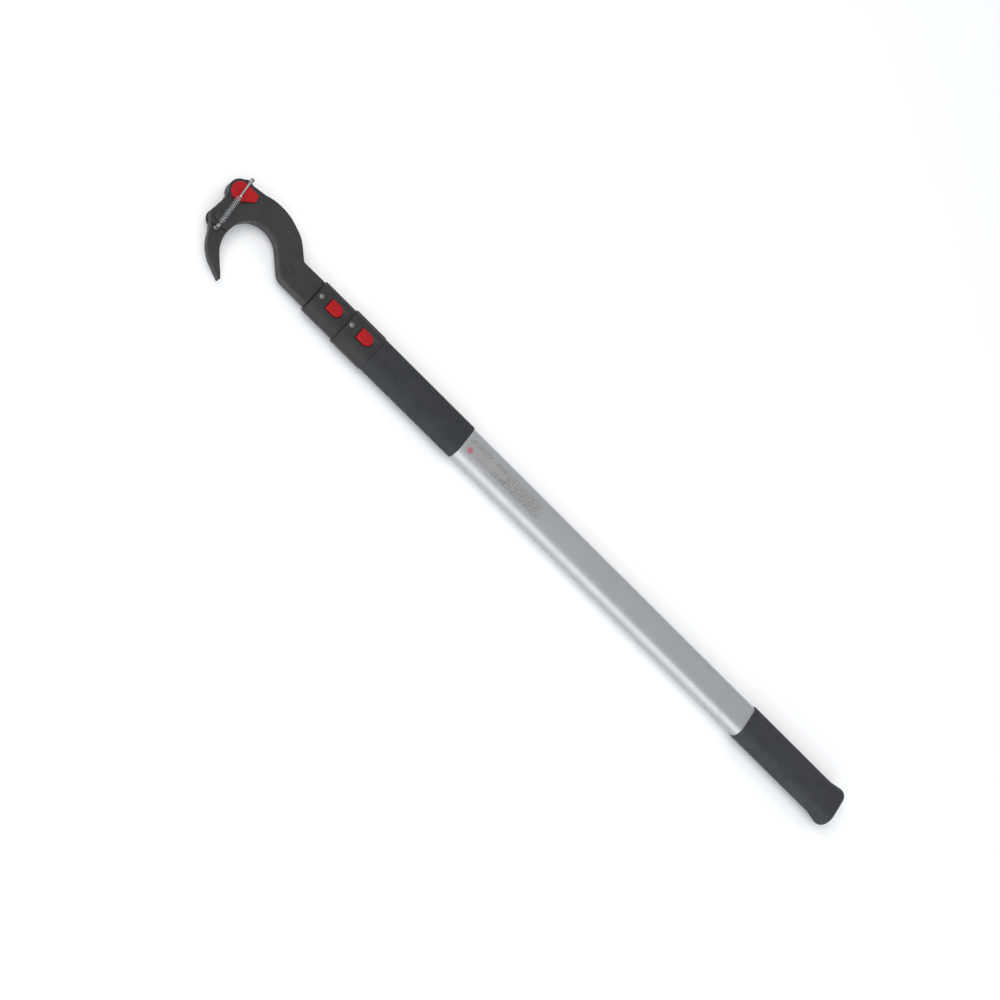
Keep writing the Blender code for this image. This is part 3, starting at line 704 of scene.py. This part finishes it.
def grown(name, tree, points, values, placed=Matrix.Identity(4)):
    """Runs a tree on an object that has only points, and returns the plain mesh as a piece."""
    mesh = bpy.data.meshes.new(name + "_points")
    mesh.from_pydata([tuple(point) for point in points], [], [])
    source = bpy.data.objects.new(name + "_source", mesh)
    bpy.context.scene.collection.objects.link(source)
    modifier = source.modifiers.new("grow", "NODES")
    modifier.node_group = tree
    sockets = {item.name: item.identifier for item in tree.interface.items_tree
               if item.item_type == "SOCKET" and item.in_out == "INPUT"}
    for label, value in values.items():
        modifier[sockets[label]] = value
    made = plain_mesh(source)
    bpy.data.objects.remove(source)
    made.transform(Matrix.Translation(LEVER) @ placed)
    made.name = name
    made.shade_smooth()
    made.set_sharp_from_angle(angle=SHARP)
    thing = bpy.data.objects.new(name, made)
    bpy.context.scene.collection.objects.link(thing)
    return thing


# %% Build the rivet tree
HEADS, given, out = geometry_tree("rivet_heads", [
    ("Radius", FLOAT), ("Height", FLOAT), ("Material", "NodeSocketMaterial")])
dome = add_node(HEADS, "GeometryNodeMeshUVSphere", Segments=32, Rings=16, Radius=1.0)
low_dome = add_node(HEADS, "ShaderNodeCombineXYZ", X=given["Radius"], Y=given["Radius"],
                    Z=given["Height"])
squashed = add_node(HEADS, "GeometryNodeTransform", Geometry=dome.outputs[0],
                    Scale=low_dome.outputs[0])
rim_depth = add_node(HEADS, "ShaderNodeMath", [("operation", "MULTIPLY")], _0=given["Height"],
                     _1=0.5)
rim_disc = add_node(HEADS, "GeometryNodeMeshCylinder", Vertices=32, Radius=given["Radius"],
                    Depth=rim_depth.outputs[0])
whole = add_node(HEADS, "GeometryNodeJoinGeometry")
HEADS.links.new(squashed.outputs[0], whole.inputs[0])
HEADS.links.new(rim_disc.outputs["Mesh"], whole.inputs[0])
spots = add_node(HEADS, "GeometryNodeInstanceOnPoints", Points=given["Geometry"],
                 Instance=whole.outputs[0])
close_tree(HEADS, spots.outputs[0], given["Material"], out)
print("made", HEADS.name, "with", len(HEADS.nodes), "nodes")

# %% Place the rivet heads
HEAD_HEIGHT, HEAD_PROUD = 0.0008, 0.0002       # a head's rise, and how far its middle stands proud


def middle_of(node):
    low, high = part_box(node)
    return (low + high) / 2 - LEVER


for stage in ("outer", "middle"):
    node = stage + "_latch_rivet"
    spot = middle_of(node)
    seat = thickness(stage + "_collar") / 2 + HEAD_PROUD
    stud = grown(node + "_skin", HEADS, [(spot.x, spot.y, seat)],
                 {"Radius": 0.0027, "Height": HEAD_HEIGHT, "Material": STUD})
    settle(stud, stage, "bright_steel", node)

cheek_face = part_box("front_cheek")[1].z - LEVER.z
rivet_nodes = [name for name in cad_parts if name.startswith("cheek_rivet_")]
rivet_spots = []
for name in sorted(rivet_nodes):
    for side in (1, -1):
        rivet_spots.append((middle_of(name).x, middle_of(name).y, side * (cheek_face + HEAD_PROUD)))
heads = grown("cheek_rivet_heads", HEADS, rivet_spots,
              {"Radius": 0.0032, "Height": HEAD_HEIGHT, "Material": COATED})
settle(heads, "head", "black_coated_steel", *rivet_nodes)

# %% [markdown]
# ## The hooked head
# The head is a sandwich: a thick core plate between two thinner cheeks. Seen from the front it is
# one dark shape, so what gives it away as real steel is its rounded edges and the fine joint
# between the plates. The core keeps the model's own shape, and the two cheeks share one outline.

# %% The hook's outlines
NECK_X, NECK_HALF = 0.2072, 0.0150
ARCH, ARCH_R = (0.2820, 0.0125), 0.0267
BACK, BACK_R = (0.2860, 0.0130), 0.0550
BOSS, BOSS_R = (0.3257, -0.0222), 0.0128
EAR, EAR_R = (0.3252, -0.0334), 0.0043
PIVOT, KNUCKLE_R = (0.3245, 0.0140), 0.0100
HUB_R = 0.0090
PLATE_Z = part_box("claw")[1].z - LEVER.z
SPINDLE_R, PIN_R = 0.0032, 0.0035
SPRING_POST, SPRING_ANCHOR = (0.3254, -0.0343), (0.3198, 0.0259)


def hook_back():
    return [(NECK_X, -0.0160), *smooth([(0.2350, -0.0156), (0.2382, -0.0184), (0.2473, -0.0276),
                                        (0.2545, -0.0332), (0.2628, -0.0369)]),
            *arc(BACK, BACK_R, 247, 291.3), (0.3178, -0.0363),
            *arc(EAR, EAR_R, 215, 318), *arc(BOSS, BOSS_R, -62, 68), (0.3320, -0.0072),
            (0.3332, -0.0012)]


def hook_mouth(start_deg):
    return [*arc(ARCH, ARCH_R, start_deg, -135), *arc((0.2369, 0.0008), 0.0140, 45, 90),
            (NECK_X, NECK_HALF)]


# %% The two cheeks
cheek_outline = [*hook_back(), (0.3334, 0.0060), *arc(PIVOT, KNUCKLE_R, -26, 112), (0.3092, 0.0192),
                 *hook_mouth(0)]
for node, side in (("front_cheek", 1), ("back_cheek", -1)):
    faces = sorted((side * (PLATE_Z + 0.0003), side * cheek_face))
    cheek = plate(node + "_skin", cheek_outline, *faces, 0.0005, COATED,
                  [(PIVOT, PIN_R + 0.0003), (BOSS, SPINDLE_R + 0.0003)])
    settle(cheek, "head", "black_coated_steel", node)

# %% [markdown]
# ## Claw, release lever and their pins
# The claw swings on a pin through the cheeks. It is a plate like the cheeks, but its edges are
# rounded more because they slide over the work. The red lever is a thumb plate on its spindle. The
# pins are profiles spun round their axes, with a small chamfer wherever a tool would leave one.

# %% The claw
claw_inner = smooth([(0.2886, 0.0551), (0.2940, 0.0493), (0.3019, 0.0402),
                     (0.3061, 0.0331), (0.3085, 0.0255), (0.3092, 0.0196), (0.3090, 0.0111)])
HEEL_R, HEEL_HALF_DEG = 0.0260, 7.5
claw_outline = [*claw_inner, *arc(PIVOT, HUB_R, -162, -114),
                *arc(PIVOT, HEEL_R, -90 - HEEL_HALF_DEG, -90 + HEEL_HALF_DEG),
                *arc(PIVOT, HUB_R, -66, 62), (0.3262, 0.0258),
                *arc((0.2805, 0.0150), 0.0453, 20, 62),
                *arc((0.2856, 0.0608), 0.0014, 66, 216, 15.0)]
claw = plate("claw_skin", claw_outline, -PLATE_Z, PLATE_Z, 0.0007, COATED,
             [(PIVOT, PIN_R + 0.0020)])
settle(claw, "claw", "black_coated_steel", "claw")

# %% The release lever
LEVER_HUB, LEVER_HUB_R = (0.3256, -0.0205), 0.0103
lever_low, lever_high = (corner.z - LEVER.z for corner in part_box("release_lever"))
lever_outline = [*arc(LEVER_HUB, LEVER_HUB_R, -86, 116),
                 *arc((0.3106, -0.0240), 0.0022, 122, 195),
                 *arc((0.3121, -0.0283), 0.0022, 195, 268), (0.3169, -0.0304), (0.3215, -0.0308)]
lever = plate("release_lever_skin", lever_outline, lever_low, lever_high, 0.0008, RED)
settle(lever, "lever", "red_plastic", "release_lever")

# %% The claw's pivot pin, with a rounded head in front and a flat one behind
pin_low, pin_high = (corner.z - LEVER.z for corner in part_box("claw_pivot_pin"))
HEAD_R, HEAD_EDGE = 0.0054, 0.0005
seat = cheek_face + 0.0003
pin_profile = [(0, pin_low), (HEAD_R - HEAD_EDGE, pin_low), (HEAD_R, pin_low + HEAD_EDGE),
               (HEAD_R, -seat), (PIN_R, -seat), (PIN_R, seat), (HEAD_R, seat),
               (HEAD_R, seat + HEAD_EDGE)]
rise = pin_high - seat - HEAD_EDGE
for turn in quarter_turn(6)[1:-1]:
    pin_profile.append((HEAD_R * math.cos(turn), seat + HEAD_EDGE + rise * math.sin(turn)))
pin = turned("claw_pivot_pin_skin", [*pin_profile, (0, pin_high)], PIVOT, COATED)
settle(pin, "head", "black_coated_steel", "claw_pivot_pin")

# %% The lever's spindle
spindle_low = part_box("lever_spindle")[0].z - LEVER.z
spindle_high = lever_high - 0.0009             # the moulded lever covers the spindle's end
spindle = turned("lever_spindle_skin",
                 [(0, spindle_low), (SPINDLE_R - 0.0003, spindle_low),
                  (SPINDLE_R, spindle_low + 0.0003),
                  (SPINDLE_R, spindle_high - 0.0006), (SPINDLE_R - 0.0002, spindle_high - 0.0003),
                  (SPINDLE_R - 0.0006, spindle_high), (0, spindle_high)], BOSS, BRIGHT)
settle(spindle, "lever", "bright_steel", "lever_spindle")

# %% The spring's post on the hook
SPRING_Z = 0.0126
post_seat = cheek_face + 0.0003
post_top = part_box("spring_post")[1].z - LEVER.z
post = turned("spring_post_skin",
              [(0, -post_seat - 0.0006), (0.0026, -post_seat - 0.0006), (0.0026, -post_seat),
               (0.0015, -post_seat), (0.0015, post_seat), (0.0020, post_seat),
               (0.0020, post_seat + 0.0010), (0.0014, post_seat + 0.0018),
               (0.0014, SPRING_Z + 0.0008), (0.0022, SPRING_Z + 0.0012),
               (0.0023, SPRING_Z + 0.0018), (0.0018, post_top - 0.0003),
               (0.0010, post_top - 0.00005), (0, post_top)], SPRING_POST, STUD)
settle(post, "head", "bright_steel", "spring_post")

# %% The spring's screw on the claw
anchor_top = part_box("spring_anchor_screw")[1].z - LEVER.z
anchor_seat = PLATE_Z + 0.0003
anchor = turned("spring_anchor_skin",
                [(0, -PLATE_Z), (0.0013, -PLATE_Z), (0.0013, anchor_seat), (0.0022, anchor_seat),
                 (0.0022, anchor_seat + 0.0022), (0.0013, anchor_seat + 0.0026),
                 (0.0013, SPRING_Z + 0.0008), (0.0019, SPRING_Z + 0.0011),
                 (0.0020, SPRING_Z + 0.0019), (0.0014, anchor_top - 0.0002), (0, anchor_top)],
                SPRING_ANCHOR, STUD)
settle(anchor, "claw", "bright_steel", "spring_anchor_screw")

# %% [markdown]
# ## The return spring with Geometry Nodes
# The spring pulls the claw shut: a straight wire from a post, an open coil, and a short tail to a
# screw on the claw. A coil follows a rule, so a node tree draws it as a spiral and sweeps a round
# wire along it. It crosses the claw's joint and is left on no body.

# %% Build the spring tree
COIL, given, out = geometry_tree("coil_spring", [
    ("Span", FLOAT), ("Coil From", FLOAT), ("Coil To", FLOAT), ("Turns", FLOAT),
    ("Coil Radius", FLOAT), ("Wire Radius", FLOAT), ("Shank Radius", FLOAT),
    ("Loop Radius", FLOAT), ("Material", "NodeSocketMaterial")])


def along(x, z):
    """A point beside the spring's own axis."""
    return add_node(COIL, "ShaderNodeCombineXYZ", X=x, Z=z).outputs[0]


def sum_of(first, second, operation="ADD"):
    made = add_node(COIL, "ShaderNodeMath", [("operation", operation)], _0=first, _1=second)
    return made.outputs[0]


coil_height = sum_of(given["Coil To"], given["Coil From"], "SUBTRACT")
spiral = add_node(COIL, "GeometryNodeCurveSpiral", Resolution=28, Rotations=given["Turns"],
                  Start_Radius=given["Coil Radius"], End_Radius=given["Coil Radius"],
                  Height=coil_height)
raised = add_node(COIL, "GeometryNodeTransform", Geometry=spiral.outputs[0],
                  Translation=along(0.0, given["Coil From"]))
ends = []
for end, inward, coil_end in ((given["Loop Radius"], -0.0020, given["Coil From"]),
                              (sum_of(given["Span"], given["Loop Radius"], "SUBTRACT"), 0.0010,
                               given["Coil To"])):
    ends.append(add_node(COIL, "GeometryNodeCurveQuadraticBezier", Resolution=16,
                         Start=along(0.0, end), Middle=along(0.0, sum_of(coil_end, inward)),
                         End=along(given["Coil Radius"], coil_end)))
for height in (0.0, given["Span"]):
    ring = add_node(COIL, "GeometryNodeCurvePrimitiveCircle", Resolution=24,
                    Radius=given["Loop Radius"])
    ends.append(add_node(COIL, "GeometryNodeTransform", Geometry=ring.outputs[0],
                         Translation=along(0.0, height), Rotation=(0.0, math.pi / 2, 0.0)))
wires = add_node(COIL, "GeometryNodeJoinGeometry")
for part in (raised, *ends[1:]):
    COIL.links.new(part.outputs[0], wires.inputs[0])
whole = add_node(COIL, "GeometryNodeJoinGeometry")
for curve, radius in ((wires, given["Wire Radius"]), (ends[0], given["Shank Radius"])):
    section = add_node(COIL, "GeometryNodeCurvePrimitiveCircle", Resolution=10, Radius=radius)
    swept = add_node(COIL, "GeometryNodeCurveToMesh", Curve=curve.outputs[0],
                     Profile_Curve=section.outputs[0], Fill_Caps=True)
    COIL.links.new(swept.outputs[0], whole.inputs[0])
close_tree(COIL, whole.outputs[0], given["Material"], out)
print("made", COIL.name, "with", len(COIL.nodes), "nodes")

# %% Hang the spring between its post and the claw's screw
spring_start, spring_end = Vector((*SPRING_POST, SPRING_Z)), Vector((*SPRING_ANCHOR, SPRING_Z))
direction = (spring_end - spring_start).normalized()
spring_span = (spring_end - spring_start).length
COIL_START_Y = -0.0125
coil_from = (COIL_START_Y - spring_start.y) / direction.y
placed = Matrix.Translation(spring_start) @ direction.to_track_quat("Z", "X").to_matrix().to_4x4()
spring = grown("claw_spring_coil", COIL, [(0, 0, 0)],
               {"Span": spring_span, "Coil From": coil_from, "Coil To": spring_span - 0.0045,
                "Turns": 15.0, "Coil Radius": 0.0026, "Wire Radius": 0.0003, "Shank Radius": 0.0010,
                "Loop Radius": 0.0016, "Material": SPRING}, placed)
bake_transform(spring)
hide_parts("claw_spring")
print(spring.name, len(spring.data.polygons), "faces")

# %% [markdown]
# ## The label
# A thin printed film on the tube's front flat. It carries rows of plain dashes that stand for
# printing without being any writing, and a plain red diamond. Geometry Nodes lay the dashes on a
# grid, drop some at random with a fixed seed, and vary their length.

# %% The film
label_low, label_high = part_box("tube_label")
label_low, label_high = label_low - LEVER, label_high - LEVER
CORNER = 0.0025
film_outline = []
for (cx, cy), start in (((label_high.x - CORNER, label_high.y - CORNER), 0),
                        ((label_low.x + CORNER, label_high.y - CORNER), 90),
                        ((label_low.x + CORNER, label_low.y + CORNER), 180),
                        ((label_high.x - CORNER, label_low.y + CORNER), 270)):
    film_outline += arc((cx, cy), CORNER, start, start + 90, 10.0)
FILM_TOP = thickness("outer_tube") / 2 + 0.00012
film = plate("tube_label_film", film_outline, FILM_TOP - 0.0001, FILM_TOP, 0.00002, LABEL)
settle(film, "outer", "grey_label", "tube_label")

# %% Build the dash tree
DASHES, given, out = geometry_tree("printed_dashes", [
    ("Length", FLOAT), ("Width", FLOAT), ("Columns", "NodeSocketInt"), ("Rows", "NodeSocketInt"),
    ("Dash", FLOAT), ("Line", FLOAT), ("Keep", FLOAT), ("Seed", "NodeSocketInt"),
    ("Material", "NodeSocketMaterial")])
grid = add_node(DASHES, "GeometryNodeMeshGrid", Size_X=given["Length"], Size_Y=given["Width"],
                Vertices_X=given["Columns"], Vertices_Y=given["Rows"])
chance = add_node(DASHES, "FunctionNodeRandomValue", [("data_type", "BOOLEAN")],
                  Probability=given["Keep"], Seed=given["Seed"])
stretch = add_node(DASHES, "FunctionNodeRandomValue", [("data_type", "FLOAT")], _2=0.4, _3=1.0,
                   Seed=given["Seed"])
long_by = add_node(DASHES, "ShaderNodeCombineXYZ", X=stretch.outputs[1], Y=1.0, Z=1.0)
flat_size = add_node(DASHES, "ShaderNodeCombineXYZ", X=given["Dash"], Y=given["Line"], Z=0.00003)
dash = add_node(DASHES, "GeometryNodeMeshCube", Size=flat_size.outputs[0])
printed = add_node(DASHES, "GeometryNodeInstanceOnPoints", Points=grid.outputs[0],
                   Selection=chance.outputs[3], Instance=dash.outputs[0], Scale=long_by.outputs[0])
close_tree(DASHES, printed.outputs[0], given["Material"], out)
print("made", DASHES.name)

# %% Print the label
PRINT_Z = FILM_TOP + 0.00002
PRINT_BLOCKS = (
    # name, middle x, middle y, length, width, columns, rows, seed
    ("label_print_front", -0.0185, -0.0058, 0.0270, 0.0044, 12, 4, 3),
    ("label_print_heading", -0.0475, -0.0056, 0.0140, 0.0042, 6, 4, 5),
    ("label_print_body", -0.0810, -0.0002, 0.0460, 0.0148, 20, 10, 8),
    ("label_print_side", -0.0490, 0.0052, 0.0160, 0.0040, 7, 4, 11),
)
for name, x, y, length, width, columns, rows, seed in PRINT_BLOCKS:
    block = grown(name, DASHES, [(0, 0, 0)],
                  {"Length": length, "Width": width, "Columns": columns, "Rows": rows,
                   "Dash": 0.0020, "Line": 0.0007, "Keep": 0.72, "Seed": seed, "Material": INK},
                  Matrix.Translation((x, y, PRINT_Z)))
    settle(block, "outer", "grey_label")

red_rows = grown("label_print_red", DASHES, [(0, 0, 0)],
                 {"Length": 0.020, "Width": 0.0016, "Columns": 9, "Rows": 2, "Dash": 0.0018,
                  "Line": 0.0006, "Keep": 0.75, "Seed": 4, "Material": RED_INK},
                 Matrix.Translation((-0.0270, 0.0066, PRINT_Z)))
settle(red_rows, "outer", "grey_label")
diamond = plate("label_diamond", arc((-0.0095, 0.0052), 0.0040, 0, 270, 90.0),
                PRINT_Z - 0.00002, PRINT_Z + 0.00002, 0.000005, RED_INK)
settle(diamond, "outer", "grey_label")

# %% [markdown]
# ## Pieces that keep their own shape
# What is hidden inside, and the core whose tang and pocket are cut to fit, keep the model's own
# shape and only get a finish. They come into view when the lever is drawn out or the claw opens.

# %% Paint the carried-over pieces
KEPT = {
    COATED: ["hook_core"],
    NYLON: ["tube_end_plug", "middle_tube_bushing", "inner_tube_bushing"],
    SPRING: ["middle_snap_clip", "inner_snap_clip"],
    BRIGHT: ["tang_pin_1", "tang_pin_2", "claw_bushing", "lock_cam", "lever_retaining_ring"],
}
for material, names in KEPT.items():
    for name in names:
        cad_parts[name].data.materials.clear()
        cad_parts[name].data.materials.append(material)
    print(material.name, "on", ", ".join(names))
